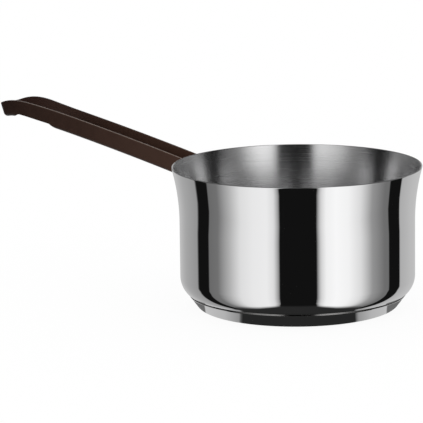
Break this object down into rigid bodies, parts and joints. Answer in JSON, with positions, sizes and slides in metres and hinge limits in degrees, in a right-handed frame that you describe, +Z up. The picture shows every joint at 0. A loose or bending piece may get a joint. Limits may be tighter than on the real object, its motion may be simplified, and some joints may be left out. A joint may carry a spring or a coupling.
{
  "type": "saucepan",
  "caption": "Flared polished steel saucepan on a capsule base, with a long brown coated channel handle that has a hanging slot behind a turned-down nose.",
  "frame": {"origin": "centre of the base's flat underside, on the pot's axis", "axes": "+Z up along the pot's axis, handle along -X, Y across the handle"},
  "size_m": [0.3433, 0.162, 0.1138],
  "materials": {
    "polished_steel": "mirror polished outside, fine turned satin inside",
    "core_aluminium": "raw, hidden inside the base",
    "base_steel": "polished sides, fine turned underside",
    "brown_coating": "dark brown satin coating on folded sheet steel"
  },
  "bodies": {
    "root": {"pot_body": "polished_steel", "base_core": "core_aluminium", "base_cap": "base_steel", "handle": "brown_coating"}
  },
  "joints": []
}
